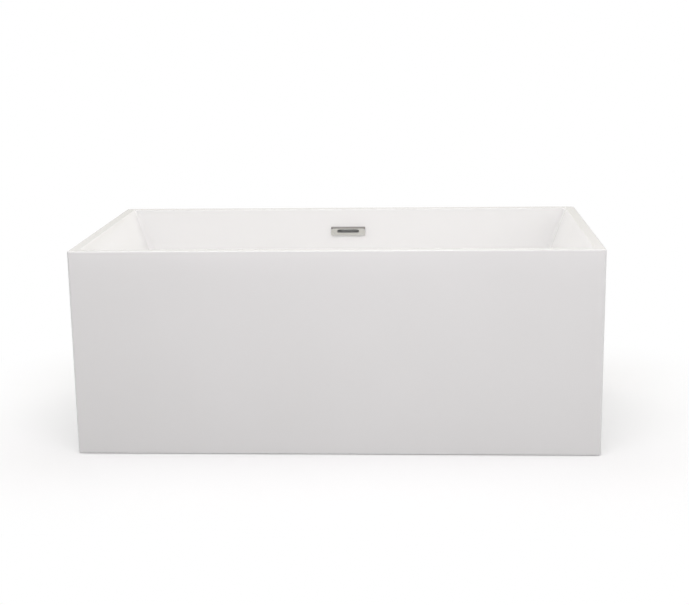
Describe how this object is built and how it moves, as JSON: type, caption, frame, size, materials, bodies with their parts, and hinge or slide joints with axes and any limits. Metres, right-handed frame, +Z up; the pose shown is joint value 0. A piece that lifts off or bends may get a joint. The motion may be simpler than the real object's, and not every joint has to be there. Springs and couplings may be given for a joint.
{
  "type": "freestanding bathtub",
  "caption": "Double-skinned rectangular freestanding bathtub with a thin flat rim, leaning inner walls, a slotted overflow, a click waste and a levelling frame.",
  "frame": {"origin": "on the floor under the middle of the tub", "axes": "+X along the length, +Y towards the long wall with the overflow, +Z up"},
  "size_m": [1.5, 0.8, 0.595],
  "materials": {
    "acrylic": "polished",
    "timber": "sawn",
    "plywood": "sealed",
    "frame_steel": "powder coated",
    "zinc_steel": "zinc plated",
    "black_plastic": "moulded",
    "black_rubber": "moulded",
    "white_plastic": "moulded",
    "hose_plastic": "ribbed",
    "brass": "machined",
    "chrome": "polished"
  },
  "bodies": {
    "root": {"basin_shell": "acrylic", "outer_skirt": "acrylic", "rim_batten_front": "timber", "rim_batten_back": "timber", "rim_batten_left": "timber", "rim_batten_right": "timber", "base_board": "plywood", "long_rail_front": "frame_steel", "long_rail_back": "frame_steel", "cross_rail_left": "frame_steel", "cross_rail_right": "frame_steel", "rail_end_caps": "black_plastic", "board_screws": "zinc_steel", "skirt_bracket_front_left": "zinc_steel", "skirt_bracket_front_right": "zinc_steel", "skirt_bracket_back_left": "zinc_steel", "skirt_bracket_back_right": "zinc_steel", "bracket_screws": "zinc_steel", "foot_weld_nuts": "zinc_steel", "foot_lock_nuts": "zinc_steel", "waste_flange": "chrome", "waste_top_gasket": "black_rubber", "waste_bottom_gasket": "black_rubber", "waste_tee": "white_plastic", "plug_cartridge": "brass", "cartridge_spring": "zinc_steel", "overflow_plate": "chrome", "overflow_gasket": "black_rubber", "overflow_body": "white_plastic", "overflow_nuts": "zinc_steel", "overflow_hose": "hose_plastic", "hose_nut_upper": "white_plastic", "hose_nut_lower": "white_plastic", "hose_seals": "black_rubber"},
    "plug": {"plug_cap": "chrome", "plug_seal": "black_rubber", "plug_plunger": "brass"},
    "foot_pad_front_left": {"foot_pad_front_left": "black_plastic"},
    "foot_pad_front_right": {"foot_pad_front_right": "black_plastic"},
    "foot_pad_back_left": {"foot_pad_back_left": "black_plastic"},
    "foot_pad_back_right": {"foot_pad_back_right": "black_plastic"},
    "foot_stem_front_left": {"foot_stem_front_left": "zinc_steel"},
    "foot_stem_front_right": {"foot_stem_front_right": "zinc_steel"},
    "foot_stem_back_left": {"foot_stem_back_left": "zinc_steel"},
    "foot_stem_back_right": {"foot_stem_back_right": "zinc_steel"}
  },
  "joints": [
    {"name": "plug_lift", "type": "slide", "parent": "root", "child": "plug", "axis": [0, 0, 1], "range_m": [0, 0.009], "deforming": ["cartridge_spring"]},
    {"name": "foot_drop_front_left", "type": "slide", "parent": "root", "child": "foot_pad_front_left", "axis": [0, 0, -1], "range_m": [0, 0.0175]},
    {"name": "foot_turn_front_left", "type": "hinge", "parent": "foot_pad_front_left", "child": "foot_stem_front_left", "pos_m": [-0.56, -0.32, 0.06], "axis": [0, 0, -1], "range_deg": [0, 3600]},
    {"name": "foot_drop_front_right", "type": "slide", "parent": "root", "child": "foot_pad_front_right", "axis": [0, 0, -1], "range_m": [0, 0.0175]},
    {"name": "foot_turn_front_right", "type": "hinge", "parent": "foot_pad_front_right", "child": "foot_stem_front_right", "pos_m": [0.56, -0.32, 0.06], "axis": [0, 0, -1], "range_deg": [0, 3600]},
    {"name": "foot_drop_back_left", "type": "slide", "parent": "root", "child": "foot_pad_back_left", "axis": [0, 0, -1], "range_m": [0, 0.0175]},
    {"name": "foot_turn_back_left", "type": "hinge", "parent": "foot_pad_back_left", "child": "foot_stem_back_left", "pos_m": [-0.56, 0.32, 0.06], "axis": [0, 0, -1], "range_deg": [0, 3600]},
    {"name": "foot_drop_back_right", "type": "slide", "parent": "root", "child": "foot_pad_back_right", "axis": [0, 0, -1], "range_m": [0, 0.0175]},
    {"name": "foot_turn_back_right", "type": "hinge", "parent": "foot_pad_back_right", "child": "foot_stem_back_right", "pos_m": [0.56, 0.32, 0.06], "axis": [0, 0, -1], "range_deg": [0, 3600]}
  ],
  "couplings": [
    {"joint": "foot_turn_front_left", "follows": "foot_drop_front_left", "rad_per_m": 3590.4},
    {"joint": "foot_turn_front_right", "follows": "foot_drop_front_right", "rad_per_m": 3590.4},
    {"joint": "foot_turn_back_left", "follows": "foot_drop_back_left", "rad_per_m": 3590.4},
    {"joint": "foot_turn_back_right", "follows": "foot_drop_back_right", "rad_per_m": 3590.4}
  ]
}
